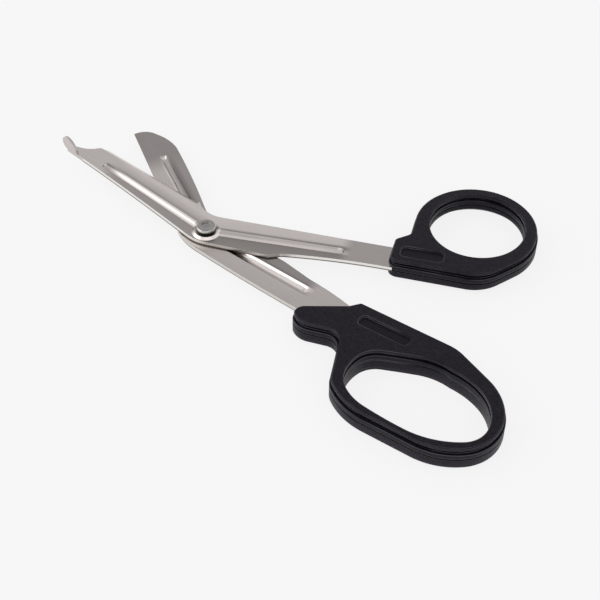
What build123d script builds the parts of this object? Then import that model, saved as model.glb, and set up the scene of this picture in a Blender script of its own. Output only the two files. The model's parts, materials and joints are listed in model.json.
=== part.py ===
from build123d import *
from math import cos, radians, sin
import os

# Bandage scissors lying open on a table, probe blade on top
# Outlines are given with the arms closed: pivot at 0, 0 and the handles towards +X

# Pivot place and opening
PIVOT_X = -23.56
PIVOT_Y = -0.21
OPENING = 20.0

# Heights
HANDLE_HEIGHT = 8.4
SHEET = 1.5
BLADE_GAP = 0.1

UPPER_BASE = HANDLE_HEIGHT / 2 + BLADE_GAP / 2
UPPER_TOP = UPPER_BASE + SHEET
LOWER_TOP = HANDLE_HEIGHT / 2 - BLADE_GAP / 2
LOWER_BASE = LOWER_TOP - SHEET

# Pivot rivet
SHANK_DIAMETER = 4.0
RUNNING_CLEARANCE = 0.05
HEAD_DIAMETER = 6.5
HEAD_THICKNESS = 1.8
HEAD_ROUNDING = 0.6
DIMPLE_DIAMETER = 3.6
DIMPLE_DEPTH = 0.45
TAIL_DIAMETER = 5.6
TAIL_THICKNESS = 1.1
TAIL_EDGE = 0.4

# Pressed boss round the rivet, hollow on the inner face
BOSS_DIAMETER = 9.4
BOSS_RISE = 0.8
BOSS_SLOPE = 0.65
BOSS_WALL = 0.5
BOSS_HOLLOW = 0.6
BOSS_HOLLOW_SLOPE = 0.35

# Section of the pressed ribs, as shares of their radius and height
RIB_RISE = 1.05
RIB_HOLLOW = 0.9
RIB_WALL = 0.25
RIB_CROWN_SHARE = 0.28
RIB_SHOULDER_SHARE = 0.75
RIB_SHOULDER_HEIGHT = 0.6
RIB_ROOT_RADIUS = 1.6

# Ground bevel along each cutting edge
BEVEL_WIDTH = 1.7
BEVEL_RUNOUT = 3.4
EDGE_LAND = 0.2

# Probe blade outline
CUT_TOE = (-47.2, 33.7)
CUT_HEEL = (-6.9, 14.0)
HEEL_DROP = (-6.1, 12.5)
HEEL_BEND = (-2.6, 9.3)
SHANK_START = (2.2, 7.9)
TIP_CROWN = (-50.1, 33.4)
TIP_DIP_START = (-52.4, 32.4)
TIP_DIP = (-55.1, 31.7)
TIP_DIP_END = (-58.0, 31.8)
TIP_END = (-61.4, 31.2)
FOOT_ROOT = (-55.9, 26.9)
FOLD_ANGLE = 150.0
FOLD_LENGTH = 7.2
BACK_MIDDLE = (-31.6, 12.7)
BACK_HEEL = (-6.0, -3.0)
BELLY_START = (1.3, -5.35)
STEP_OUT = (22.7, -6.15)
STEP_IN = (26.9, -4.25)
UNDERSIDE_MIDDLE = (42.5, -2.4)
SHANK_END = (62.6, -1.65)
UPPER_TANG_LOW = 0.6
UPPER_TANG_HIGH = 6.2

# Foot profile: distance along the fold, height above the sheet's inner face
FOOT_START = 0.6
FOOT_LOWER = (4.1, 0.45)
FOOT_LOWER_END = (7.5, 0.95)
FOOT_NOSE = (9.3, 3.5)
FOOT_CREST = (6.7, 6.1)
FOOT_SHOULDER = (4.1, 5.2)
FOOT_RISE = (1.7, 1.0)
FOOT_THICKNESS = 0.9

# Ends of the pressed ribs of the probe blade
UPPER_BLADE_RIB = (-44.6, 24.3)
UPPER_BLADE_RIB_RADIUS = 1.2
UPPER_SHANK_RIB = (45.0, 1.8)
UPPER_SHANK_RIB_RADIUS = 1.25

# Plain blade outline
PLAIN_TOE = (-56.1, 28.8)
PLAIN_TIP = (-54.0, 32.0)
PLAIN_CROWN = (-49.5, 33.4)
PLAIN_SHOULDER = (-43.8, 33.2)
PLAIN_BACK_START = (-38.3, 31.3)
PLAIN_BACK_MIDDLE = (-25.0, 22.4)
PLAIN_BACK_END = (-9.2, 10.7)
PLAIN_BACK_BEND = (-3.5, 7.6)
PLAIN_SHANK_START = (3.0, 6.2)
PLAIN_SHANK_MIDDLE = (28.8, 4.0)
PLAIN_SHANK_WAIST = (40.4, 1.75)
PLAIN_SHANK_SWELL = (50.6, 0.35)
PLAIN_SHANK_END = (60.0, -1.9)
LOWER_TANG_START = 63.0
LOWER_TANG_HIGH = -3.4
LOWER_TANG_LOW = -8.4
PLAIN_POCKET = (57.0, -12.3)
PLAIN_UNDERSIDE = (23.0, -9.6)
PLAIN_HEEL_END = (1.0, -7.2)
PLAIN_HEEL_BEND = (-4.5, -5.9)
PLAIN_CUT_HEEL = (-9.6, -3.4)

# Ends of the pressed ribs of the plain blade
LOWER_BLADE_RIB = (-38.3, 24.2)
LOWER_BLADE_RIB_RADIUS = 1.25
LOWER_SHANK_RIB = (41.0, -3.1)
LOWER_SHANK_RIB_RADIUS = 1.8

# Tang holes
TANG_LENGTH = 17.5
LOWER_TANG_LENGTH = 20.0
TANG_HOLE = 2.6
TANG_HOLE_SPACING = 7.0

# Thumb handle outline
THUMB_SIDE = -1.35
THUMB_FRONT = 60.9
THUMB_CORNER_ROUNDING = 3.0
THUMB_BROW = 9.8
THUMB_BROW_ROUNDING = 2.2
THUMB_NECK = 13.4
THUMB_NECK_ROUNDING = 1.8
THUMB_RING_CENTRE = (85.6, 21.9)
THUMB_RING_RADIUS = 20.3
THUMB_BLEND_ANGLE = -42.0
THUMB_BLEND_ROUNDING = 13.0
THUMB_RING_WIDTH = 4.7
THUMB_HOLE_SHIFT = (0.3, 0.9)

# Finger handle outline
FINGER_SIDE = -1.1
FINGER_SIDE_START = 61.3
FINGER_SIDE_END = 92.5
FINGER_SLOPE_START = (98.0, -2.2)
FINGER_SLOPE_END = (108.8, -6.6)
FINGER_FAR_CORNER = (118.2, -14.2)
FINGER_END = (120.9, -22.5)
FINGER_NEAR_CORNER = (116.0, -33.6)
FINGER_BASE_END = (101.0, -38.9)
FINGER_BASE_START = (86.0, -39.0)
FINGER_HEEL = (72.5, -34.6)
FINGER_HEEL_END = (69.9, -31.1)
FINGER_FRONT_END = (64.8, -19.6)
FINGER_THROAT = (59.0, -17.0)
FINGER_NOSE_START = (53.5, -18.7)
FINGER_NOSE_LOW = (47.3, -17.6)
FINGER_NOSE_FRONT = (46.1, -15.0)
FINGER_NOSE_TOP = (47.6, -12.1)
FINGER_NOTCH = (58.8, -4.4)
FINGER_CORNER_ROUNDING = 1.5
FINGER_HOLE_FAR = (98.0, -9.7)
FINGER_HOLE_FAR_END = (108.2, -11.9)
FINGER_HOLE_CORNER = (115.4, -18.0)
FINGER_HOLE_END = (117.5, -24.6)
FINGER_HOLE_NEAR_CORNER = (114.2, -31.4)
FINGER_HOLE_NEAR = (98.0, -36.8)
FINGER_HOLE_NEAR_START = (84.5, -36.1)
FINGER_HOLE_HEEL = (76.9, -33.3)
FINGER_HOLE_FRONT_LOW = (72.8, -27.3)
FINGER_HOLE_FRONT_HIGH = (72.8, -20.6)
FINGER_HOLE_FAR_CORNER = (77.4, -15.0)
FINGER_HOLE_FAR_START = (87.5, -10.7)

# Handle edges
LIP_HEIGHT = 1.0
LIP_INSET = 0.45
LIP_EDGE = 0.3
COVE_HEIGHT = 1.4
COVE_DEPTH = 1.1
PARTING_HEIGHT = 0.4
PARTING_DEPTH = 0.3
THUMB_UNDERSIDE = 0.9
THUMB_UNDER_EDGE = 0.9
THUMB_HOLE_FLARE = 1.6
FINGER_FOOT_HEIGHT = 1.0
FINGER_FOOT_INSET = 1.0
FINGER_FOOT_HOLE = 0.1

# Bare oblong recesses
RECESS_DEPTH = 0.7
THUMB_RECESS_CENTRE = (71.1, 4.2)
THUMB_RECESS_LENGTH = 14.0
THUMB_RECESS_WIDTH = 5.0
FINGER_RECESS_CENTRE = (73.6, -7.5)
FINGER_RECESS_LENGTH = 17.5
FINGER_RECESS_WIDTH = 4.4
RECESS_ROUNDING = 1.6


def arm_plane(turn, height):
    along = (cos(radians(turn)), sin(radians(turn)), 0)
    return Plane(origin=(PIVOT_X, PIVOT_Y, height), x_dir=along, z_dir=(0, 0, 1))


def further(point, angle, distance):
    return (point[0] + distance * cos(radians(angle)), point[1] + distance * sin(radians(angle)))


def pressed_rib(face_plane, rise, root_radius, far, far_radius, mode):
    sections = []
    for height, share in ((0, 1), (RIB_SHOULDER_HEIGHT, RIB_SHOULDER_SHARE), (1, RIB_CROWN_SHARE)):
        with BuildSketch(face_plane.offset(rise * height)) as section:
            Circle(root_radius * share)
            with Locations(far):
                Circle(far_radius * share)
            make_hull()
        sections.append(section.sketch)
    loft(sections, ruled=True, mode=mode)


def pressed_boss(face_plane, rise, radius, slope, mode):
    with BuildSketch(face_plane) as footprint:
        Circle(radius)
    with BuildSketch(face_plane.offset(rise)) as crown:
        Circle(radius - slope)
    loft([footprint.sketch, crown.sketch], ruled=True, mode=mode)


def ground_bevel(inner_plane, heel, toe, outward):
    start = inner_plane.from_local_coords(heel)
    run = inner_plane.from_local_coords(toe) - start
    edge_plane = Plane(origin=start, x_dir=run.rotate(Axis.Z, outward), z_dir=run)
    with BuildSketch(edge_plane) as ground:
        Polygon((0, -EDGE_LAND), (-BEVEL_WIDTH, -SHEET), (SHEET, -SHEET), (SHEET, -EDGE_LAND), align=None)
    extrude(ground.sketch, amount=run.length + BEVEL_RUNOUT, mode=Mode.SUBTRACT)


def handle_section(outline, hole, inset, hole_growth):
    with BuildSketch() as section:
        add(outline)
        offset(amount=-inset, mode=Mode.REPLACE)
        offset(hole, amount=hole_growth, mode=Mode.SUBTRACT)
    return section.sketch


def handle_layer(section, turn, base, top):
    with BuildSketch(arm_plane(turn, base)) as layer:
        add(section)
    extrude(layer.sketch, amount=top - base)


UPPER_TURN = OPENING / 2
LOWER_TURN = -OPENING / 2

PARTING_BASE = HANDLE_HEIGHT / 2 - PARTING_HEIGHT / 2
PARTING_TOP = HANDLE_HEIGHT / 2 + PARTING_HEIGHT / 2
LIP_BASE = HANDLE_HEIGHT - LIP_HEIGHT
COVE_BASE = LIP_BASE - COVE_HEIGHT
boss_radius = BOSS_DIAMETER / 2
hole_radius = SHANK_DIAMETER / 2 + RUNNING_CLEARANCE

os.makedirs("parts", exist_ok=True)

# Probe blade
fold_end = further(FOOT_ROOT, FOLD_ANGLE, FOLD_LENGTH)
tang_end = SHANK_END[0] + TANG_LENGTH
upper_inner = arm_plane(UPPER_TURN, UPPER_BASE)
upper_outer = arm_plane(UPPER_TURN, UPPER_TOP)
fold_turn = radians(UPPER_TURN + FOLD_ANGLE)
foot_plane = Plane(
    origin=upper_inner.from_local_coords(FOOT_ROOT),
    x_dir=(cos(fold_turn), sin(fold_turn), 0),
    z_dir=(sin(fold_turn), -cos(fold_turn), 0),
)
tang_middle = (UPPER_TANG_LOW + UPPER_TANG_HIGH) / 2

with BuildPart() as probe_blade:
    with BuildSketch(upper_inner):
        with BuildLine():
            Line(SHANK_START, (SHANK_END[0], SHANK_START[1]))
            Line((SHANK_END[0], SHANK_START[1]), (SHANK_END[0], UPPER_TANG_HIGH))
            Line((SHANK_END[0], UPPER_TANG_HIGH), (tang_end, UPPER_TANG_HIGH))
            Line((tang_end, UPPER_TANG_HIGH), (tang_end, UPPER_TANG_LOW))
            Line((tang_end, UPPER_TANG_LOW), (SHANK_END[0], UPPER_TANG_LOW))
            Line((SHANK_END[0], UPPER_TANG_LOW), SHANK_END)
            ThreePointArc(SHANK_END, UNDERSIDE_MIDDLE, STEP_IN)
            Line(STEP_IN, STEP_OUT)
            Line(STEP_OUT, BELLY_START)
            TangentArc(BELLY_START, BACK_HEEL, tangent=(-1, 0.04))
            ThreePointArc(BACK_HEEL, BACK_MIDDLE, FOOT_ROOT)
            Line(FOOT_ROOT, fold_end)
            ThreePointArc(fold_end, TIP_END, TIP_DIP_END)
            ThreePointArc(TIP_DIP_END, TIP_DIP, TIP_DIP_START)
            ThreePointArc(TIP_DIP_START, TIP_CROWN, CUT_TOE)
            Line(CUT_TOE, CUT_HEEL)
            Line(CUT_HEEL, HEEL_DROP)
            ThreePointArc(HEEL_DROP, HEEL_BEND, SHANK_START)
        make_face()
    extrude(amount=SHEET)
    with BuildSketch(foot_plane):
        with BuildLine():
            ThreePointArc((FOOT_START, 0), FOOT_LOWER, FOOT_LOWER_END)
            ThreePointArc(FOOT_LOWER_END, FOOT_NOSE, FOOT_CREST)
            ThreePointArc(FOOT_CREST, FOOT_SHOULDER, FOOT_RISE)
            Line(FOOT_RISE, (FOOT_START, 0))
        make_face()
    extrude(amount=FOOT_THICKNESS)
    ground_bevel(upper_inner, CUT_HEEL, CUT_TOE, -90)
    pressed_rib(upper_outer, RIB_RISE, RIB_ROOT_RADIUS, UPPER_BLADE_RIB, UPPER_BLADE_RIB_RADIUS, Mode.ADD)
    pressed_rib(upper_outer, RIB_RISE, RIB_ROOT_RADIUS, UPPER_SHANK_RIB, UPPER_SHANK_RIB_RADIUS, Mode.ADD)
    pressed_boss(upper_outer, BOSS_RISE, boss_radius, BOSS_SLOPE, Mode.ADD)
    with BuildSketch(upper_outer.offset(BOSS_RISE)):
        Circle(boss_radius)
    extrude(amount=RIB_RISE, mode=Mode.SUBTRACT)
    pressed_boss(upper_inner, BOSS_HOLLOW, boss_radius - BOSS_WALL, BOSS_HOLLOW_SLOPE, Mode.SUBTRACT)
    for rib_end, rib_radius in (
        (UPPER_BLADE_RIB, UPPER_BLADE_RIB_RADIUS),
        (UPPER_SHANK_RIB, UPPER_SHANK_RIB_RADIUS),
    ):
        pressed_rib(
            upper_inner, RIB_HOLLOW, RIB_ROOT_RADIUS - RIB_WALL, rib_end, rib_radius - RIB_WALL, Mode.SUBTRACT
        )
    with BuildSketch(upper_inner):
        Circle(hole_radius)
        with Locations((tang_end - TANG_HOLE_SPACING / 2, tang_middle)):
            Circle(TANG_HOLE / 2)
        with Locations((tang_end - TANG_HOLE_SPACING * 3 / 2, tang_middle)):
            Circle(TANG_HOLE / 2)
    extrude(amount=SHEET + BOSS_RISE, mode=Mode.SUBTRACT)

# Plain blade
lower_inner = arm_plane(LOWER_TURN, LOWER_TOP)
lower_outer = arm_plane(LOWER_TURN, LOWER_BASE)
lower_tang_end = LOWER_TANG_START + LOWER_TANG_LENGTH
lower_tang_middle = (LOWER_TANG_LOW + LOWER_TANG_HIGH) / 2

with BuildPart() as plain_blade:
    with BuildSketch(lower_inner):
        with BuildLine():
            ThreePointArc(PLAIN_TOE, PLAIN_TIP, PLAIN_CROWN)
            ThreePointArc(PLAIN_CROWN, PLAIN_SHOULDER, PLAIN_BACK_START)
            ThreePointArc(PLAIN_BACK_START, PLAIN_BACK_MIDDLE, PLAIN_BACK_END)
            ThreePointArc(PLAIN_BACK_END, PLAIN_BACK_BEND, PLAIN_SHANK_START)
            Line(PLAIN_SHANK_START, PLAIN_SHANK_MIDDLE)
            Line(PLAIN_SHANK_MIDDLE, PLAIN_SHANK_WAIST)
            ThreePointArc(PLAIN_SHANK_WAIST, PLAIN_SHANK_SWELL, PLAIN_SHANK_END)
            Line(PLAIN_SHANK_END, (LOWER_TANG_START, LOWER_TANG_HIGH))
            Line((LOWER_TANG_START, LOWER_TANG_HIGH), (lower_tang_end, LOWER_TANG_HIGH))
            Line((lower_tang_end, LOWER_TANG_HIGH), (lower_tang_end, LOWER_TANG_LOW))
            Line((lower_tang_end, LOWER_TANG_LOW), (PLAIN_POCKET[0], LOWER_TANG_LOW))
            Line((PLAIN_POCKET[0], LOWER_TANG_LOW), PLAIN_POCKET)
            ThreePointArc(PLAIN_POCKET, PLAIN_UNDERSIDE, PLAIN_HEEL_END)
            ThreePointArc(PLAIN_HEEL_END, PLAIN_HEEL_BEND, PLAIN_CUT_HEEL)
            Line(PLAIN_CUT_HEEL, PLAIN_TOE)
        make_face()
    extrude(amount=-SHEET)
    ground_bevel(lower_inner, PLAIN_CUT_HEEL, PLAIN_TOE, 90)
    for rib_end, rib_radius in (
        (LOWER_BLADE_RIB, LOWER_BLADE_RIB_RADIUS),
        (LOWER_SHANK_RIB, LOWER_SHANK_RIB_RADIUS),
    ):
        pressed_rib(
            lower_outer, -RIB_RISE, RIB_ROOT_RADIUS + RIB_WALL, rib_end, rib_radius + RIB_WALL, Mode.ADD
        )
    pressed_boss(lower_outer, -BOSS_RISE, boss_radius, BOSS_SLOPE, Mode.ADD)
    with BuildSketch(lower_outer.offset(-BOSS_RISE)):
        Circle(boss_radius)
    extrude(amount=-RIB_RISE, mode=Mode.SUBTRACT)
    pressed_boss(lower_inner, -BOSS_HOLLOW, boss_radius - BOSS_WALL, BOSS_HOLLOW_SLOPE, Mode.SUBTRACT)
    for rib_end, rib_radius in (
        (LOWER_BLADE_RIB, LOWER_BLADE_RIB_RADIUS),
        (LOWER_SHANK_RIB, LOWER_SHANK_RIB_RADIUS),
    ):
        pressed_rib(lower_inner, -RIB_HOLLOW, RIB_ROOT_RADIUS, rib_end, rib_radius, Mode.SUBTRACT)
    with BuildSketch(lower_inner):
        Circle(SHANK_DIAMETER / 2)
        with Locations((lower_tang_end - TANG_HOLE_SPACING / 2, lower_tang_middle)):
            Circle(TANG_HOLE / 2)
        with Locations((lower_tang_end - TANG_HOLE_SPACING * 3 / 2, lower_tang_middle)):
            Circle(TANG_HOLE / 2)
    extrude(amount=-SHEET - BOSS_RISE, mode=Mode.SUBTRACT)

# Pivot rivet
head_base = UPPER_TOP + BOSS_RISE + RUNNING_CLEARANCE
tail_top = LOWER_BASE - BOSS_RISE

with BuildPart() as pivot_rivet:
    with BuildSketch(arm_plane(0, head_base)):
        Circle(HEAD_DIAMETER / 2)
    extrude(amount=HEAD_THICKNESS)
    fillet(pivot_rivet.edges().sort_by(Axis.Z)[-1], HEAD_ROUNDING)
    with BuildSketch(arm_plane(0, head_base + HEAD_THICKNESS)):
        Circle(DIMPLE_DIAMETER / 2)
    extrude(amount=-DIMPLE_DEPTH, mode=Mode.SUBTRACT)
    with BuildSketch(arm_plane(0, tail_top)):
        Circle(SHANK_DIAMETER / 2)
    extrude(amount=head_base - tail_top)
    with BuildSketch(arm_plane(0, tail_top - TAIL_THICKNESS)):
        Circle(TAIL_DIAMETER / 2)
    extrude(amount=TAIL_THICKNESS)
    chamfer(pivot_rivet.edges().sort_by(Axis.Z)[0], TAIL_EDGE)

# Thumb handle
ring_start = further(THUMB_RING_CENTRE, THUMB_BLEND_ANGLE, THUMB_RING_RADIUS)
ring_far = further(THUMB_RING_CENTRE, 90 + THUMB_BLEND_ANGLE / 2, THUMB_RING_RADIUS)
ring_end = further(THUMB_RING_CENTRE, 180, THUMB_RING_RADIUS)
blend_run = (ring_start[1] - THUMB_SIDE) * sin(radians(-THUMB_BLEND_ANGLE)) / cos(radians(-THUMB_BLEND_ANGLE))
blend_corner = (ring_start[0] - blend_run, THUMB_SIDE)
brow = (THUMB_FRONT, THUMB_BROW)
neck = (ring_end[0], THUMB_NECK)
front_corner = (THUMB_FRONT, THUMB_SIDE)
thumb_hole_centre = (THUMB_RING_CENTRE[0] + THUMB_HOLE_SHIFT[0], THUMB_RING_CENTRE[1] + THUMB_HOLE_SHIFT[1])

with BuildSketch() as thumb_outline:
    with BuildLine():
        ThreePointArc(ring_start, ring_far, ring_end)
        Line(ring_end, neck)
        Line(neck, brow)
        Line(brow, front_corner)
        Line(front_corner, blend_corner)
        Line(blend_corner, ring_start)
    make_face()
    fillet(thumb_outline.vertices().sort_by_distance(blend_corner)[0], THUMB_BLEND_ROUNDING)
    fillet(thumb_outline.vertices().sort_by_distance(front_corner)[0], THUMB_CORNER_ROUNDING)
    fillet(thumb_outline.vertices().sort_by_distance(brow)[0], THUMB_BROW_ROUNDING)
    fillet(thumb_outline.vertices().sort_by_distance(neck)[0], THUMB_NECK_ROUNDING)

with BuildSketch() as thumb_hole:
    with Locations(thumb_hole_centre):
        Circle(THUMB_RING_RADIUS - THUMB_RING_WIDTH)

with BuildSketch() as thumb_wall:
    add(thumb_outline.sketch)
    add(thumb_hole.sketch, mode=Mode.SUBTRACT)

with BuildSketch() as thumb_lip:
    add(thumb_outline.sketch)
    offset(amount=-LIP_INSET, mode=Mode.REPLACE)
    add(thumb_hole.sketch, mode=Mode.SUBTRACT)

thumb_cove = handle_section(thumb_outline.sketch, thumb_hole.sketch, COVE_DEPTH, COVE_DEPTH)
thumb_parting = handle_section(thumb_outline.sketch, thumb_hole.sketch, PARTING_DEPTH, PARTING_DEPTH)

with BuildPart() as thumb_handle:
    handle_layer(thumb_wall.sketch, UPPER_TURN, THUMB_UNDERSIDE, PARTING_BASE)
    chamfer(thumb_handle.faces().sort_by(Axis.Z)[0].outer_wire().edges(), THUMB_UNDER_EDGE)
    chamfer(thumb_handle.faces().sort_by(Axis.Z)[0].inner_wires()[0].edges(), THUMB_HOLE_FLARE)
    handle_layer(thumb_parting, UPPER_TURN, PARTING_BASE, PARTING_TOP)
    handle_layer(thumb_wall.sketch, UPPER_TURN, PARTING_TOP, COVE_BASE)
    handle_layer(thumb_cove, UPPER_TURN, COVE_BASE, LIP_BASE)
    handle_layer(thumb_lip.sketch, UPPER_TURN, LIP_BASE, HANDLE_HEIGHT)
    chamfer(thumb_handle.faces().sort_by(Axis.Z)[-1].edges(), LIP_EDGE)
    with BuildSketch(arm_plane(UPPER_TURN, HANDLE_HEIGHT)):
        with Locations(THUMB_RECESS_CENTRE):
            RectangleRounded(THUMB_RECESS_LENGTH, THUMB_RECESS_WIDTH, RECESS_ROUNDING)
    extrude(amount=-RECESS_DEPTH, mode=Mode.SUBTRACT)
    add(probe_blade.part, mode=Mode.SUBTRACT)

# Finger handle
with BuildSketch() as finger_outline:
    with BuildLine():
        Line((FINGER_SIDE_START, FINGER_SIDE), (FINGER_SIDE_END, FINGER_SIDE))
        TangentArc((FINGER_SIDE_END, FINGER_SIDE), FINGER_SLOPE_START, tangent=(1, 0))
        Line(FINGER_SLOPE_START, FINGER_SLOPE_END)
        slope = (FINGER_SLOPE_END[0] - FINGER_SLOPE_START[0], FINGER_SLOPE_END[1] - FINGER_SLOPE_START[1])
        loop_far = TangentArc(FINGER_SLOPE_END, FINGER_FAR_CORNER, tangent=slope)
        loop_end = TangentArc(FINGER_FAR_CORNER, FINGER_END, tangent=loop_far % 1)
        loop_near = TangentArc(FINGER_END, FINGER_NEAR_CORNER, tangent=loop_end % 1)
        TangentArc(FINGER_NEAR_CORNER, FINGER_BASE_END, tangent=loop_near % 1)
        Line(FINGER_BASE_END, FINGER_BASE_START)
        heel_arc = TangentArc(FINGER_BASE_START, FINGER_HEEL, tangent=(-1, 0))
        TangentArc(FINGER_HEEL, FINGER_HEEL_END, tangent=heel_arc % 1)
        Line(FINGER_HEEL_END, FINGER_FRONT_END)
        front = (FINGER_FRONT_END[0] - FINGER_HEEL_END[0], FINGER_FRONT_END[1] - FINGER_HEEL_END[1])
        TangentArc(FINGER_FRONT_END, FINGER_THROAT, tangent=front)
        Line(FINGER_THROAT, FINGER_NOSE_START)
        throat = (FINGER_NOSE_START[0] - FINGER_THROAT[0], FINGER_NOSE_START[1] - FINGER_THROAT[1])
        nose_low = TangentArc(FINGER_NOSE_START, FINGER_NOSE_LOW, tangent=throat)
        nose_front = TangentArc(FINGER_NOSE_LOW, FINGER_NOSE_FRONT, tangent=nose_low % 1)
        TangentArc(FINGER_NOSE_FRONT, FINGER_NOSE_TOP, tangent=nose_front % 1)
        Line(FINGER_NOSE_TOP, FINGER_NOTCH)
        Line(FINGER_NOTCH, (FINGER_SIDE_START, FINGER_SIDE))
    make_face()
    side_start = finger_outline.vertices().sort_by_distance((FINGER_SIDE_START, FINGER_SIDE))[0]
    fillet(side_start, FINGER_CORNER_ROUNDING)

with BuildSketch() as finger_hole:
    with BuildLine():
        far_end = TangentArc(FINGER_HOLE_FAR, FINGER_HOLE_FAR_END, tangent=(1, 0))
        corner = TangentArc(FINGER_HOLE_FAR_END, FINGER_HOLE_CORNER, tangent=far_end % 1)
        end = TangentArc(FINGER_HOLE_CORNER, FINGER_HOLE_END, tangent=corner % 1)
        near_corner = TangentArc(FINGER_HOLE_END, FINGER_HOLE_NEAR_CORNER, tangent=end % 1)
        near = TangentArc(FINGER_HOLE_NEAR_CORNER, FINGER_HOLE_NEAR, tangent=near_corner % 1)
        near_start = TangentArc(FINGER_HOLE_NEAR, FINGER_HOLE_NEAR_START, tangent=near % 1)
        heel = TangentArc(FINGER_HOLE_NEAR_START, FINGER_HOLE_HEEL, tangent=near_start % 1)
        front_low = TangentArc(FINGER_HOLE_HEEL, FINGER_HOLE_FRONT_LOW, tangent=heel % 1)
        front_high = TangentArc(FINGER_HOLE_FRONT_LOW, FINGER_HOLE_FRONT_HIGH, tangent=front_low % 1)
        far_corner = TangentArc(FINGER_HOLE_FRONT_HIGH, FINGER_HOLE_FAR_CORNER, tangent=front_high % 1)
        far_start = TangentArc(FINGER_HOLE_FAR_CORNER, FINGER_HOLE_FAR_START, tangent=far_corner % 1)
        TangentArc(FINGER_HOLE_FAR_START, FINGER_HOLE_FAR, tangent=far_start % 1)
    make_face()

with BuildSketch() as finger_wall:
    add(finger_outline.sketch)
    add(finger_hole.sketch, mode=Mode.SUBTRACT)

with BuildSketch() as finger_lip:
    add(finger_outline.sketch)
    offset(amount=-LIP_INSET, mode=Mode.REPLACE)
    add(finger_hole.sketch, mode=Mode.SUBTRACT)

finger_foot = handle_section(finger_outline.sketch, finger_hole.sketch, FINGER_FOOT_INSET, FINGER_FOOT_HOLE)
finger_cove = handle_section(finger_outline.sketch, finger_hole.sketch, COVE_DEPTH, COVE_DEPTH)
finger_parting = handle_section(finger_outline.sketch, finger_hole.sketch, PARTING_DEPTH, PARTING_DEPTH)

with BuildPart() as finger_handle:
    handle_layer(finger_foot, LOWER_TURN, 0, FINGER_FOOT_HEIGHT)
    handle_layer(finger_wall.sketch, LOWER_TURN, FINGER_FOOT_HEIGHT, PARTING_BASE)
    handle_layer(finger_parting, LOWER_TURN, PARTING_BASE, PARTING_TOP)
    handle_layer(finger_wall.sketch, LOWER_TURN, PARTING_TOP, COVE_BASE)
    handle_layer(finger_cove, LOWER_TURN, COVE_BASE, LIP_BASE)
    handle_layer(finger_lip.sketch, LOWER_TURN, LIP_BASE, HANDLE_HEIGHT)
    chamfer(finger_handle.faces().sort_by(Axis.Z)[-1].outer_wire().edges(), LIP_EDGE)
    with BuildSketch(arm_plane(LOWER_TURN, HANDLE_HEIGHT)):
        with Locations(FINGER_RECESS_CENTRE):
            RectangleRounded(FINGER_RECESS_LENGTH, FINGER_RECESS_WIDTH, RECESS_ROUNDING)
    extrude(amount=-RECESS_DEPTH, mode=Mode.SUBTRACT)
    add(plain_blade.part, mode=Mode.SUBTRACT)

probe_blade.part.label = "probe_blade"
export_step(probe_blade.part, "parts/probe_blade.step")
plain_blade.part.label = "plain_blade"
export_step(plain_blade.part, "parts/plain_blade.step")
pivot_rivet.part.label = "pivot_rivet"
export_step(pivot_rivet.part, "parts/pivot_rivet.step")
thumb_handle.part.label = "thumb_handle"
export_step(thumb_handle.part, "parts/thumb_handle.step")
finger_handle.part.label = "finger_handle"
export_step(finger_handle.part, "parts/finger_handle.step")
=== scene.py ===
import bpy
import json
import math
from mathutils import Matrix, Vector


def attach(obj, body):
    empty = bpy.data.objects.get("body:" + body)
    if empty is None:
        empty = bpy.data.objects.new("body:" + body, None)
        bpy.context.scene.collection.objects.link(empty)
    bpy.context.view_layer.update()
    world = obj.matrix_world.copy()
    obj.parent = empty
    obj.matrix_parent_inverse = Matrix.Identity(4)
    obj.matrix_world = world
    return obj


# Bandage scissors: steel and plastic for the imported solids, the middle wall of the finger
# handle's near rim, and the studio of the photograph. Sizes on the object are given in
# millimetres, and MM makes metres of them. The studio is given in metres.

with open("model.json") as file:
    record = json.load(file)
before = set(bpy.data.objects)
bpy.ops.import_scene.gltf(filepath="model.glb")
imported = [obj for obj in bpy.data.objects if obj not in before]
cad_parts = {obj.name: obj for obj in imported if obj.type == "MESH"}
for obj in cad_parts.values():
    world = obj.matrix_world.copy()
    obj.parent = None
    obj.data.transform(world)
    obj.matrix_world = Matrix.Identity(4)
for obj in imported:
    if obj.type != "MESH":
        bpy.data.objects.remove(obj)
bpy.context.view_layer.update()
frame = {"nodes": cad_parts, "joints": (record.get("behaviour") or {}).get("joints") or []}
nodes = frame["nodes"]
pivot = Vector(frame["joints"][0]["pos_m"])
MM = 0.001

# Turn of each arm at rest from where it is with the scissors closed, in degrees
UPPER_TURN = 10.0
LOWER_TURN = -10.0

# Most values of a noise lie between these two
NOISE_LOW = 0.3
NOISE_HIGH = 0.7

# Sockets of the Mix node for colours
MIX_FACTOR, MIX_A, MIX_B, MIX_RESULT = 0, 6, 7, 2


# Small helpers for shader trees
def new_material(name):
    material = bpy.data.materials.new(name)
    material.use_nodes = True
    tree = material.node_tree
    tree.nodes.clear()
    out = tree.nodes.new("ShaderNodeOutputMaterial")
    return material, tree, out


def add(tree, kind, inputs=None, **attributes):
    node = tree.nodes.new(kind)
    for key, value in attributes.items():
        setattr(node, key, value)
    for key, value in (inputs or {}).items():
        if isinstance(value, bpy.types.NodeSocket):
            tree.links.new(value, node.inputs[key])
        else:
            node.inputs[key].default_value = value
    return node


def grey(tone):
    return (tone, tone, tone)


def scaled(colour, share):
    return tuple(share * channel for channel in colour)


def ramp(tree, factor, stops):
    node = add(tree, "ShaderNodeValToRGB", {"Fac": factor})
    while len(node.color_ramp.elements) < len(stops):
        node.color_ramp.elements.new(0.5)
    for element, (place, colour) in zip(node.color_ramp.elements, stops):
        element.position = place
        element.color = (*colour, 1.0)
    return node.outputs["Color"]


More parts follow.
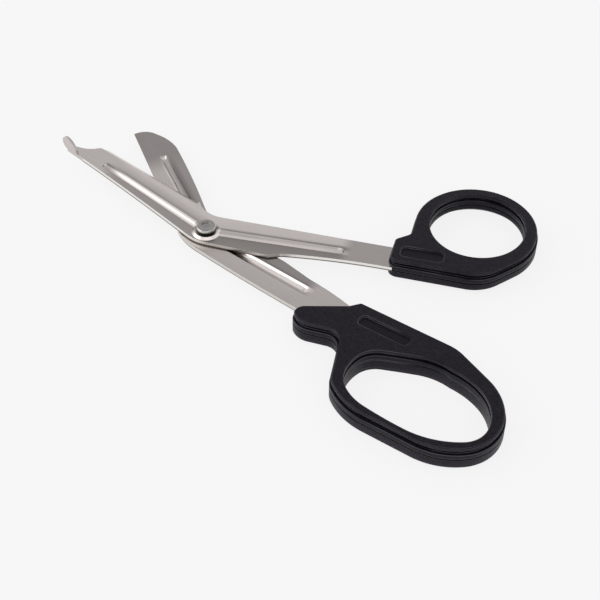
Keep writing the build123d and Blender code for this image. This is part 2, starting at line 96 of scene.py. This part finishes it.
def spread(tree, factor, colour, shares, low=NOISE_LOW, high=NOISE_HIGH):
    """The colour times the first share at low, going over to the second share at high."""
    stops = [(low, scaled(colour, shares[0])), (high, scaled(colour, shares[1]))]
    return ramp(tree, factor, stops)


def noise(tree, vector, scale, detail, roughness=0.5):
    inputs = {"Vector": vector, "Scale": scale, "Detail": detail, "Roughness": roughness}
    return add(tree, "ShaderNodeTexNoise", inputs).outputs["Fac"]


def math_node(tree, operation, a, b=0.0):
    return add(tree, "ShaderNodeMath", {0: a, 1: b}, operation=operation).outputs["Value"]


def times(tree, first, *others):
    for other in others:
        first = math_node(tree, "MULTIPLY", first, other)
    return first


def mixture(tree, a, b, share):
    """The share of a plus the rest of b."""
    return math_node(tree, "ADD", times(tree, a, share), times(tree, b, 1.0 - share))


def vector_node(tree, operation, a, b=(0.0, 0.0, 0.0), result="Vector"):
    return add(tree, "ShaderNodeVectorMath", {0: a, 1: b}, operation=operation).outputs[result]


def height_in(tree, vector):
    return add(tree, "ShaderNodeSeparateXYZ", {"Vector": vector}).outputs["Z"]


def scaled_range(tree, value, start, end, to_start=0.0, to_end=1.0):
    inputs = {
        "Value": value, "From Min": start, "From Max": end, "To Min": to_start, "To Max": to_end,
    }
    return add(tree, "ShaderNodeMapRange", inputs).outputs["Result"]


def fade(tree, value, start, end):
    """0 before start, 1 after end, smooth in between."""
    inputs = {"Value": value, "From Min": start, "From Max": end}
    node = add(tree, "ShaderNodeMapRange", inputs, interpolation_type="SMOOTHSTEP")
    return node.outputs["Result"]


def fade_mm(tree, value, start, end, origin=0.0):
    """The same for a length in metres, with limits in millimetres past an origin."""
    return fade(tree, value, (origin + start) * MM, (origin + end) * MM)


def within(tree, value, rise, fall, origin=0.0):
    """From 0 to 1 over the rise and back over the fall, both in millimetres past an origin."""
    rising = fade_mm(tree, value, *rise, origin)
    return times(tree, rising, fade_mm(tree, value, fall[1], fall[0], origin))


def beside(tree, distance, full, none):
    """1 up to a distance from a line on both sides, 0 from a greater one on, in millimetres."""
    return fade_mm(tree, math_node(tree, "ABSOLUTE", distance), none, full)


def blend(tree, factor, a, b, how="MIX"):
    inputs = {MIX_FACTOR: factor, MIX_A: a, MIX_B: b}
    node = add(tree, "ShaderNodeMix", inputs, data_type="RGBA", blend_type=how)
    return node.outputs[MIX_RESULT]


def toned(tree, mask, colour, tone):
    """The colour, and a plain grey where the mask is 1."""
    return blend(tree, mask, colour, (*grey(tone), 1.0))


def turned(tree, vector, degrees):
    node = add(tree, "ShaderNodeMapping", {"Vector": vector}, vector_type="POINT")
    node.inputs["Rotation"].default_value = (0.0, 0.0, math.radians(degrees))
    return node.outputs["Vector"]


def on_arm(tree, arm_degrees):
    """Place on a closed arm in metres: x from the pivot to the handle, y across, z up."""
    place = add(tree, "ShaderNodeTexCoord").outputs["Object"]
    from_axis = vector_node(tree, "SUBTRACT", place, (pivot.x, pivot.y, 0.0))
    return turned(tree, from_axis, -arm_degrees)


def dot(tree, vector, direction):
    return vector_node(tree, "DOT_PRODUCT", vector, (*direction, 0.0), "Value")


def plan_radius(tree, place):
    """Distance from the rivet's axis."""
    in_plan = vector_node(tree, "MULTIPLY", place, (1.0, 1.0, 0.0))
    return vector_node(tree, "LENGTH", in_plan, result="Value")


def rounded_normal(tree, radius, samples):
    """Normal with edges rounded over a radius in millimetres."""
    edge = add(tree, "ShaderNodeBevel", {"Radius": radius * MM}, samples=samples)
    return edge.outputs["Normal"]


def close_surface(tree, out, colour, roughness, relief, normal, strength, depth, metallic=0.0):
    """Principled surface with a fine bump of a depth in millimetres."""
    inputs = {"Height": relief, "Strength": strength, "Distance": depth * MM, "Normal": normal}
    bump = add(tree, "ShaderNodeBump", inputs)
    inputs = {
        "Base Color": colour, "Metallic": metallic, "Roughness": roughness,
        "Normal": bump.outputs["Normal"],
    }
    shader = add(tree, "ShaderNodeBsdfPrincipled", inputs)
    tree.links.new(shader.outputs["BSDF"], out.inputs["Surface"])
    return shader


# In the three materials a noise is given by its scale and detail, an edge by its radius in
# millimetres and its samples, and a bump by its strength and its depth in millimetres

# Sheet steel
STEEL = (0.66, 0.607, 0.59)
STEEL_SHARES = (0.93, 1.07)
STEEL_ROUGHNESS = (0.22, 0.32)
STEEL_PATCHES = (90.0, 3.0)
STEEL_EDGE = (0.2, 6)
STEEL_BUMP = (0.08, 0.02)
GRAIN_STRETCH = (60.0, 4200.0, 4200.0)
GRAIN_DETAIL = 4.0
GRAIN_ROUGHNESS = 0.6
GRAIN_SHARE = 0.6
# Widths in millimetres: reach of the painted light and shade beside a rib, blend of blade and
# shank at the pivot, and half of a rib's top
ACROSS = 8.0
BEND_BLEND = 2.0
RIB_HALF = (1.1, 1.5)
BLADE_END_HALF = (0.8, 1.1)
SHANK_END_HALF = (0.4, 0.7)
# Rises and falls of the painted light and shade along a rib, in millimetres past its end
PAST_BLADE_RIB = (-9.0, 3.0)
PAST_SHANK_RIB = (-1.0, 4.0)
BLADE_RUN_IN = ((-12.0, -1.0), (0.8, 1.5))
BLADE_END = ((-0.6, -0.2), (0.7, 1.0))
SHANK_END = ((-1.1, -0.7), (0.1, 0.4))
# Ring of the boss round the rivet, with painted light on the side that faces this way: a painted
# highlight on the probe blade, slight painted shade on the plain one
BOSS_RING = ((3.7, 4.1), (4.7, 5.0))
BOSS_SIDE = (-0.35, 1.0)
BOSS_BLEND = 1.5
# Sheared sides of the sheet: those short of the foot's root whose normal rises by less than
# this, with a painted highlight above and a painted shadow below
FOOT_ROOT = 61.0
FOOT_BLEND = 1.5
SIDE_RISE = (0.4, 0.1)
SHEARED_SHADOW = (0.2, 0.18, 0.17)
SHEARED_SHADOW_BLEND = 0.25


def rib_line(tree, place, end):
    """A rib from the pivot to its end: places along it and across it, length and angle."""
    length = math.hypot(*end)
    line = (end[0] / length, end[1] / length)
    # Across counts up towards y on blade and shank alike
    across = (line[1], -line[0]) if line[0] < 0.0 else (-line[1], line[0])
    angle = math.degrees(math.atan2(line[1], line[0]))
    return dot(tree, place, line), dot(tree, place, across), length, angle


def painted_light_across(tree, distance, stops):
    """Painted light and shade of the sheet by the distance from the middle of a rib, in
    millimetres.
    """
    share = scaled_range(tree, distance, -ACROSS * MM, ACROSS * MM)
    return ramp(tree, share, [((mm + ACROSS) / (2 * ACROSS), grey(tone)) for mm, tone in stops])


def grain_along(tree, place, degrees):
    """Fine grinding lines that run at an angle."""
    stretched = vector_node(tree, "MULTIPLY", turned(tree, place, -degrees), GRAIN_STRETCH)
    return noise(tree, stretched, 1.0, GRAIN_DETAIL, GRAIN_ROUGHNESS)


def blade_steel(name, arm_degrees, blade, shank, boss_painted_light, sheared_highlight, shadow_below):
    """Satin ground sheet steel: long fine grain, with painted highlights and painted shade on
    the slopes and flanks of the ribs.

    blade and shank each give the rib's end from the pivot, the painted tones across it, and the
    painted tones past it, at its very end and, for the blade, on its way there. The boss ring
    gets painted light on its near side, and the sheared sides a painted highlight above and a
    painted shadow below.
    """
    material, tree, out = new_material(name)
    place = on_arm(tree, arm_degrees)
    along_blade, off_blade, blade_length, blade_angle = rib_line(tree, place, blade["rib"])
    along_shank, off_shank, shank_length, shank_angle = rib_line(tree, place, shank["rib"])
    is_shank = fade_mm(tree, dot(tree, place, (1.0, 0.0)), -BEND_BLEND, BEND_BLEND)

    # Painted light and shade on the blade: across the rib, past its end, over its run-in and in
    # a spot at its very end
    tip = fade_mm(tree, along_blade, *PAST_BLADE_RIB, blade_length)
    run_in = within(tree, along_blade, *BLADE_RUN_IN, blade_length)
    run_in = times(tree, run_in, beside(tree, off_blade, *RIB_HALF))
    rib_end = within(tree, along_blade, *BLADE_END, blade_length)
    rib_end = times(tree, rib_end, beside(tree, off_blade, *BLADE_END_HALF))
    blade_painted_light = painted_light_across(tree, off_blade, blade["painted_tones"])
    blade_painted_light = toned(tree, tip, blade_painted_light, blade["past"])
    blade_painted_light = toned(tree, run_in, blade_painted_light, blade["run_in"])
    blade_painted_light = toned(tree, rib_end, blade_painted_light, blade["end"])

    # The same painted light and shade on the shank
    beyond = fade_mm(tree, along_shank, *PAST_SHANK_RIB, shank_length)
    rib_end = within(tree, along_shank, *SHANK_END, shank_length)
    rib_end = times(tree, rib_end, beside(tree, off_shank, *SHANK_END_HALF))
    shank_painted_light = painted_light_across(tree, off_shank, shank["painted_tones"])
    shank_painted_light = toned(tree, beyond, shank_painted_light, shank["past"])
    shank_painted_light = toned(tree, rib_end, shank_painted_light, shank["end"])

    tone = blend(tree, is_shank, blade_painted_light, shank_painted_light)
    # Painted light on the side of the boss ring that faces this way
    ring = within(tree, plan_radius(tree, place), *BOSS_RING)
    lit_side = fade_mm(tree, dot(tree, place, BOSS_SIDE), BOSS_BLEND, -BOSS_BLEND)
    tone = toned(tree, times(tree, ring, lit_side), tone, boss_painted_light)

    blade_grain = grain_along(tree, place, blade_angle)
    shank_grain = grain_along(tree, place, shank_angle)
    grain = blend(tree, is_shank, blade_grain, shank_grain)
    mixed = mixture(tree, grain, noise(tree, place, *STEEL_PATCHES), GRAIN_SHARE)
    # The painted light and shade is multiplied into the steel's colour
    colour = blend(tree, 1.0, spread(tree, mixed, STEEL, STEEL_SHARES), tone, how="MULTIPLY")

    # Painted highlight on the sheared sides, with a painted shadow along their lower part
    normal_up = height_in(tree, add(tree, "ShaderNodeNewGeometry").outputs["True Normal"])
    is_side = fade(tree, math_node(tree, "ABSOLUTE", normal_up), *SIDE_RISE)
    before_foot = fade_mm(tree, along_blade, FOOT_ROOT, FOOT_ROOT - FOOT_BLEND)
    under_shadow = fade_mm(tree, height_in(tree, place), shadow_below, shadow_below - SHEARED_SHADOW_BLEND)
    sheared_light_and_shadow = blend(tree, under_shadow, (*sheared_highlight, 1.0), (*SHEARED_SHADOW, 1.0))
    colour = blend(tree, times(tree, is_side, before_foot), colour, sheared_light_and_shadow)

    roughness = scaled_range(tree, mixed, NOISE_LOW, NOISE_HIGH, *STEEL_ROUGHNESS)
    normal = rounded_normal(tree, *STEEL_EDGE)
    close_surface(tree, out, colour, roughness, grain, normal, *STEEL_BUMP, metallic=1.0)
    return material


# Rivet steel
RIVET = (0.4, 0.385, 0.375)
RIVET_SHARES = (0.8, 1.2)
RIVET_ROUGHNESS = (0.2, 0.32)
RIVET_RINGS = (4200.0, 2.0)
RIVET_PATCHES = (700.0, 3.0)
RINGS_SHARE = 0.5
RIVET_EDGE = (0.15, 6)
RIVET_BUMP = (0.12, 0.03)
# Heights of the head's foot and top, painted light of its side between them (a painted shadow at
# the foot, a painted highlight higher up), and the tone of its middle, which goes over to the
# side's at these distances from the axis
HEAD_BASE = 6.6
HEAD_TOP = 8.4
HEAD_SIDE_PAINTED_LIGHT = ((0.0, 0.06), (0.38, 0.1), (0.5, 1.0), (0.75, 1.8), (0.97, 1.1), (1.0, 0.9))
HEAD_MIDDLE = 0.9
HEAD_RIM = (1.5, 2.3)


def rivet_steel(name):
    """Turned rivet steel, with a painted shadow where the head meets the boss and a painted
    highlight round the rim.
    """
    material, tree, out = new_material(name)
    place = on_arm(tree, 0.0)
    from_middle = vector_node(tree, "LENGTH", place, result="Value")
    scale, detail = RIVET_RINGS
    inputs = {"W": from_middle, "Scale": scale, "Detail": detail}
    rings = add(tree, "ShaderNodeTexNoise", inputs, noise_dimensions="1D").outputs["Fac"]
    mixed = mixture(tree, rings, noise(tree, place, *RIVET_PATCHES), RINGS_SHARE)
    level = scaled_range(tree, height_in(tree, place), HEAD_BASE * MM, HEAD_TOP * MM)
    # Painted shadow low on the head's side, with a painted highlight above it
    painted_side_light = ramp(tree, level, [(share, grey(tone)) for share, tone in HEAD_SIDE_PAINTED_LIGHT])
    rim = fade_mm(tree, plan_radius(tree, place), *HEAD_RIM)
    tone = blend(tree, rim, (*grey(HEAD_MIDDLE), 1.0), painted_side_light)
    colour = blend(tree, 1.0, spread(tree, mixed, RIVET, RIVET_SHARES), tone, how="MULTIPLY")
    roughness = scaled_range(tree, mixed, NOISE_LOW, NOISE_HIGH, *RIVET_ROUGHNESS)
    normal = rounded_normal(tree, *RIVET_EDGE)
    close_surface(tree, out, colour, roughness, mixed, normal, *RIVET_BUMP, metallic=1.0)
    return material


# Handles: colours of the plastic, of the painted highlight along its edges and of the painted
# shade in its cove and parting groove
BLACK = (0.0125, 0.0102, 0.0158)
EDGE_HIGHLIGHT = (0.1, 0.095, 0.11)
PAINTED_SHADE = (0.0008, 0.0006, 0.001)
BLACK_SHARES = (0.5, 1.5)
BLACK_RANGE = (0.35, 0.65)
BLACK_ROUGHNESS = (0.3, 0.45)
SHADE_ROUGHNESS = 0.85
GLOSS = 0.12
SPARK = (2200.0, 2.0)
COARSE = (900.0, 2.0)
FLOW = (55.0, 3.0)
SPARK_SHARE = 0.6
HANDLE_EDGE = (0.5, 8)
HANDLE_BUMP = (0.8, 0.2)
# An edge gets a painted highlight where the product of its rounded normal and its plain one goes
# from the first number to the second, and where the patches of noise allow it
HIGHLIGHT_EDGE = (0.99, 0.92)
HIGHLIGHT_PATCH = (0.3, 0.55)
# Heights above the table: cove below the lip, parting groove, and top of the walls. The cove and
# the parting groove get painted shade.
COVE_LOW = 6.0
COVE_HIGH = 7.4
COVE_BLEND = 0.15
PARTING_LOW = 3.9
PARTING_HIGH = 4.5
PARTING_BLEND = 0.1
WALL_TOP = 8.4
# Painted light of a wall by its height as a share of WALL_TOP, lighter towards the bottom as a
# painted reflection of the floor, and how far a wall's normal rises
WALL_PAINTED_LIGHT = ((0.02, 2.6), (0.2, 1.8), (0.42, 1.0), (0.7, 0.9), (1.0, 1.2))
WALL_RISE = (0.6, 0.2)
# Floors of the oblong recesses: their colour, how far their normal rises, and the heights
# between which they go over from the handle's top
RECESS_SHARES = (0.72, 0.7, 0.74, 1.0)
RECESS_RISE = (0.8, 0.95)
RECESS_DROP = (8.3, 8.15)
# Middle of each handle's hole in the closed arm's plan, and half its length and width. The
# parting groove gets painted shade outside this oval only. The thumb handle's gets it in the
# hole too, so its oval is small.
THUMB_HOLE = ((85.6, 21.9), (1.0, 1.0))
FINGER_HOLE = ((95.0, -23.5), (24.7, 14.4))
OVAL_BLEND = (0.99, 1.01)


def moulded_plastic(name, arm_degrees, oval_middle, oval_half):
    """Black moulded plastic: fine spark texture, a painted highlight along the edges in faint
    flow patches, painted light on the walls by height, and painted shade in the cove and the
    parting groove.
    """
    material, tree, out = new_material(name)
    place = on_arm(tree, arm_degrees)
    height = height_in(tree, place)
    geometry = add(tree, "ShaderNodeNewGeometry")
    normal_up = height_in(tree, geometry.outputs["True Normal"])

    spark = noise(tree, place, *SPARK)
    grain = mixture(tree, spark, noise(tree, place, *COARSE), SPARK_SHARE)
    body = spread(tree, grain, BLACK, BLACK_SHARES, *BLACK_RANGE)

    level = scaled_range(tree, height, 0.0, WALL_TOP * MM)
    # Painted light on the walls: lighter towards the bottom, a painted reflection of the floor
    wall_light_by_height = ramp(tree, level, [(share, grey(tone)) for share, tone in WALL_PAINTED_LIGHT])
    is_wall = fade(tree, math_node(tree, "ABSOLUTE", normal_up), *WALL_RISE)
    body = blend(tree, is_wall, body, blend(tree, 1.0, body, wall_light_by_height, how="MULTIPLY"))
    sunk = fade_mm(tree, height, *RECESS_DROP)
    in_recess = times(tree, fade(tree, normal_up, *RECESS_RISE), sunk)
    body = blend(tree, in_recess, body, blend(tree, 1.0, body, RECESS_SHARES, how="MULTIPLY"))

    normal = rounded_normal(tree, *HANDLE_EDGE)
    flatness = vector_node(tree, "DOT_PRODUCT", normal, geometry.outputs["Normal"], "Value")
    patches = fade(tree, noise(tree, place, *FLOW), *HIGHLIGHT_PATCH)
    # Painted highlight along the rounded edges, in patches
    highlit_edge = times(tree, fade(tree, flatness, *HIGHLIGHT_EDGE), patches)
    colour = blend(tree, highlit_edge, body, (*EDGE_HIGHLIGHT, 1.0))

    # Painted shade in the cove below the lip and in the parting groove
    rise = (COVE_LOW, COVE_LOW + COVE_BLEND)
    in_cove = within(tree, height, rise, (COVE_HIGH - COVE_BLEND, COVE_HIGH))
    rise = (PARTING_LOW, PARTING_LOW + PARTING_BLEND)
    in_parting = within(tree, height, rise, (PARTING_HIGH - PARTING_BLEND, PARTING_HIGH))
    from_middle = vector_node(tree, "SUBTRACT", place, (*scaled(oval_middle, MM), 0.0))
    per_metre = (1.0 / (oval_half[0] * MM), 1.0 / (oval_half[1] * MM), 0.0)
    shares = vector_node(tree, "MULTIPLY", from_middle, per_metre)
    reach = vector_node(tree, "LENGTH", shares, result="Value")
    in_parting = times(tree, in_parting, fade(tree, reach, *OVAL_BLEND))
    painted_shade_mask = math_node(tree, "MAXIMUM", in_cove, in_parting)
    colour = blend(tree, painted_shade_mask, colour, (*PAINTED_SHADE, 1.0))

    roughness = scaled_range(tree, grain, NOISE_LOW, NOISE_HIGH, *BLACK_ROUGHNESS)
    roughness = math_node(tree, "MAXIMUM", roughness, times(tree, painted_shade_mask, SHADE_ROUGHNESS))
    shader = close_surface(tree, out, colour, roughness, grain, normal, *HANDLE_BUMP)
    shader.inputs["Specular IOR Level"].default_value = GLOSS
    return material


# Painted light and shade of the sheets, as tones that multiply the steel's colour: painted
# highlights above 1, painted shade below 1. Each list goes by millimetres across a rib, from its
# near side to its far side. "rib" is the rib's end from the pivot in the closed arm's plan. The
# tones past the rib's end, over its run-in and in a spot at its very end are painted light and
# shade too.
probe_blade = {
    "rib": (-44.6, 24.3), "past": 0.9, "run_in": 0.42, "end": 0.7,
    "painted_tones": [
        (-8.0, 0.62), (-1.7, 0.6), (-1.3, 0.66), (-0.8, 1.5), (0.1, 1.5), (0.6, 0.56),
        (1.2, 0.5), (1.7, 0.6), (2.6, 0.8), (4.0, 0.92), (5.5, 1.06), (8.0, 1.0),
    ],
}
probe_shank = {
    "rib": (45.0, 1.8), "past": 0.66, "end": 1.4,
    "painted_tones": [
        (-8.0, 0.5), (-1.7, 0.44), (-1.4, 1.1), (0.4, 0.85), (0.9, 0.28), (1.7, 0.3),
        (2.3, 0.66), (3.0, 1.0), (8.0, 1.05),
    ],
}
plain_blade = {
    "rib": (-38.3, 24.2), "past": 0.5, "run_in": 0.8, "end": 1.5,
    "painted_tones": [
        (-8.0, 0.82), (-2.0, 0.86), (-1.5, 1.25), (-0.6, 0.95), (0.3, 0.7), (1.2, 0.34),
        (2.0, 0.4), (3.4, 0.56), (8.0, 0.58),
    ],
}
plain_shank = {
    "rib": (41.0, -3.1), "past": 0.84, "end": 0.95,
    "painted_tones": [
        (-8.0, 0.8), (-2.0, 0.86), (-1.5, 0.38), (-1.0, 0.7), (-0.2, 0.85), (0.2, 1.5),
        (1.8, 1.5), (2.1, 0.3), (3.0, 0.5), (8.0, 0.55),
    ],
}
probe_steel = blade_steel(
    "probe_blade_steel", UPPER_TURN, probe_blade, probe_shank,
    boss_painted_light=1.45, sheared_highlight=(0.84, 0.82, 0.78), shadow_below=4.85,
)
plain_steel = blade_steel(
    "plain_blade_steel", LOWER_TURN, plain_blade, plain_shank,
    boss_painted_light=0.9, sheared_highlight=(0.66, 0.63, 0.6), shadow_below=3.1,
)
thumb_black = moulded_plastic("thumb_handle_plastic", UPPER_TURN, *THUMB_HOLE)
finger_black = moulded_plastic("finger_handle_plastic", LOWER_TURN, *FINGER_HOLE)

for name, material in (
    ("probe_blade", probe_steel),
    ("plain_blade", plain_steel),
    ("pivot_rivet", rivet_steel("rivet_steel")),
    ("thumb_handle", thumb_black),
    ("finger_handle", finger_black),
):
    node = nodes[name]
    node.data.materials.clear()
    node.data.materials.append(material)

# Middle wall of the finger handle's near rim: in the solid the coves of both sides meet
# there and leave a slit. Its line is in the closed arm's plan, and its section gives half
# its thickness at each height. It is narrower at both ends and grows over WEB_TAPER.
WEB_LINE = (
    (81.0, -36.9), (85.0, -37.56), (91.5, -37.8), (98.0, -37.86), (102.0, -37.72),
    (106.0, -37.03), (110.0, -35.62),
)
WEB_SECTION = ((0.62, 5.9), (0.42, 6.15), (0.34, 6.45), (0.34, 6.95), (0.42, 7.25), (0.62, 7.5))
WEB_STEPS = 8
WEB_TAPER = 4.0
WEB_END_SHARE = 0.4


def smooth_line(points, steps):
    """A smooth line through the points."""
    ends = [2 * points[0] - points[1], *points, 2 * points[-1] - points[-2]]
    line = []
    for a, b, c, d in zip(ends, ends[1:], ends[2:], ends[3:]):
        for step in range(steps):
            t = step / steps
            square = (2 * a - 5 * b + 4 * c - d) * t**2
            cube = (3 * b - a - 3 * c + d) * t**3
            line.append(0.5 * (2 * b + (c - a) * t + square + cube))
    return line + [points[-1]]


def at_rest(x, y, z, arm_degrees):
    """A place on a closed arm in millimetres, turned to where the arm lies, in metres."""
    turn = math.radians(arm_degrees)
    return (
        pivot.x + (x * math.cos(turn) - y * math.sin(turn)) * MM,
        pivot.y + (x * math.sin(turn) + y * math.cos(turn)) * MM,
        z * MM,
    )


def thin_wall(name, line, section, arm_degrees):
    """Mesh of a wall along a line, narrowed towards both ends and closed there."""
    outline = [*section, *((-half, z) for half, z in reversed(section))]
    corners = []
    for i, point in enumerate(line):
        along = (line[min(i + 1, len(line) - 1)] - line[max(i - 1, 0)]).normalized()
        from_end = min((point - line[0]).length, (point - line[-1]).length)
        share = min(1.0, WEB_END_SHARE + (1.0 - WEB_END_SHARE) * from_end / WEB_TAPER)
        for half, z in outline:
            x = point.x - along.y * half * share
            y = point.y + along.x * half * share
            corners.append(at_rest(x, y, z, arm_degrees))
    count = len(outline)
    faces = [tuple(range(count)), tuple(reversed(range(len(corners) - count, len(corners))))]
    for i in range(len(line) - 1):
        for k in range(count):
            a, b = i * count + k, i * count + (k + 1) % count
            faces.append((a, a + count, b + count, b))
    mesh = bpy.data.meshes.new(name)
    mesh.from_pydata(corners, [], faces)
    mesh.validate()
    mesh.shade_smooth()
    return mesh


web_line = smooth_line([Vector(point) for point in WEB_LINE], WEB_STEPS)
web_mesh = thin_wall("finger_rim_web", web_line, WEB_SECTION, LOWER_TURN)
web_mesh.materials.append(finger_black)
web = bpy.data.objects.new("finger_rim_web", web_mesh)
bpy.context.scene.collection.objects.link(web)
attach(web, "lower_arm")

# Floor, pale to the camera and in reflections, with a soft shadow kept
PALE = grey(0.93)
FLOOR_HALF = 3.0
FLOOR_DROP = 0.05 * MM
FLOOR_GLOW = 1.025
FLOOR_SPECKLE = (40.0, 2.0)
SPECKLE_RISE = 0.004
SHADOW_SHARE = 0.12
floor_mesh = bpy.data.meshes.new("floor")
square = ((-1, -1), (1, -1), (1, 1), (-1, 1))
floor_corners = [(x * FLOOR_HALF, y * FLOOR_HALF, 0) for x, y in square]
floor_mesh.from_pydata(floor_corners, [], [(0, 1, 2, 3)])
floor = bpy.data.objects.new("floor", floor_mesh)
floor.location = (0.0, 0.0, -FLOOR_DROP)
bpy.context.scene.collection.objects.link(floor)
floor_material, tree, out = new_material("floor_pale")
speckle = noise(tree, add(tree, "ShaderNodeTexCoord").outputs["Object"], *FLOOR_SPECKLE)
paler = tuple(channel + SPECKLE_RISE for channel in PALE)
tint = ramp(tree, speckle, [(NOISE_LOW, PALE), (NOISE_HIGH, paler)])
lit = add(tree, "ShaderNodeBsdfDiffuse", {"Color": tint})
shown = add(tree, "ShaderNodeEmission", {"Color": (*PALE, 1.0), "Strength": FLOOR_GLOW})
path = add(tree, "ShaderNodeLightPath")
seen = math_node(tree, "MAXIMUM", path.outputs["Is Camera Ray"], path.outputs["Is Glossy Ray"])
seen = math_node(tree, "MAXIMUM", seen, path.outputs["Is Transmission Ray"])
share = times(tree, seen, 1.0 - SHADOW_SHARE)
inputs = {0: share, 1: lit.outputs["BSDF"], 2: shown.outputs["Emission"]}
floor_mix = add(tree, "ShaderNodeMixShader", inputs)
tree.links.new(floor_mix.outputs["Shader"], out.inputs["Surface"])
floor_mesh.materials.append(floor_material)

# World: a pale studio, lighter near the horizon than overhead
SKY = ((0.0, PALE), (0.12, grey(0.8)), (0.7, grey(0.72)), (1.0, grey(0.5)))
world = bpy.data.worlds.new("studio")
bpy.context.scene.world = world
world.use_nodes = True
tree = world.node_tree
tree.nodes.clear()
out = tree.nodes.new("ShaderNodeOutputWorld")
height = height_in(tree, add(tree, "ShaderNodeTexCoord").outputs["Generated"])
studio = add(tree, "ShaderNodeBackground", {"Color": ramp(tree, height, SKY), "Strength": 1.0})
tree.links.new(studio.outputs["Background"], out.inputs["Surface"])

# Camera at the photograph's viewing angle
CAMERA_FROM_PIVOT = Vector((0.154579, -0.258634, 0.0))
CAMERA_HEIGHT = 0.263669
CAMERA_ELEVATION = 44.0
CAMERA_TURN = 25.0
camera_data = bpy.data.cameras.new("camera")
camera_data.sensor_width = 36.0
camera_data.lens = 72.0
camera_data.clip_start = 0.01
camera_data.clip_end = 20.0
camera = bpy.data.objects.new("camera", camera_data)
bpy.context.scene.collection.objects.link(camera)
camera.location = (pivot.x + CAMERA_FROM_PIVOT.x, pivot.y + CAMERA_FROM_PIVOT.y, CAMERA_HEIGHT)
camera.rotation_euler = (math.radians(90.0 - CAMERA_ELEVATION), 0.0, math.radians(CAMERA_TURN))
bpy.context.scene.camera = camera


def from_pivot(right, away, up):
    """A place given to the right of, away from and above the pivot as the camera sees it."""
    turn = math.radians(CAMERA_TURN)
    return (
        pivot.x + right * math.cos(turn) - away * math.sin(turn),
        pivot.y + right * math.sin(turn) + away * math.cos(turn),
        up,
    )


def softbox(name, place, aim, width, height, watts):
    lamp = bpy.data.lights.new(name, "AREA")
    lamp.shape = "RECTANGLE"
    lamp.size, lamp.size_y = width, height
    lamp.energy = watts
    thing = bpy.data.objects.new(name, lamp)
    thing.location = place
    thing.rotation_euler = (Vector(aim) - Vector(place)).to_track_quat("-Z", "Y").to_euler()
    bpy.context.scene.collection.objects.link(thing)


# Large light on the left and weak light from the front: name, place as from_pivot takes it,
# width and height, and watts
LAMPS = (
    ("left_strip", (-0.74, -0.12, 0.4), (0.8, 0.9), 2.0),
    ("front", (0.1, -0.6, 0.75), (1.0, 0.8), 0.55),
)
LAMP_AIM = (0.02, 0.0, 0.0)
for name, place, size, watts in LAMPS:
    softbox(name, from_pivot(*place), from_pivot(*LAMP_AIM), *size, watts)

bpy.context.scene.view_settings.view_transform = "Standard"
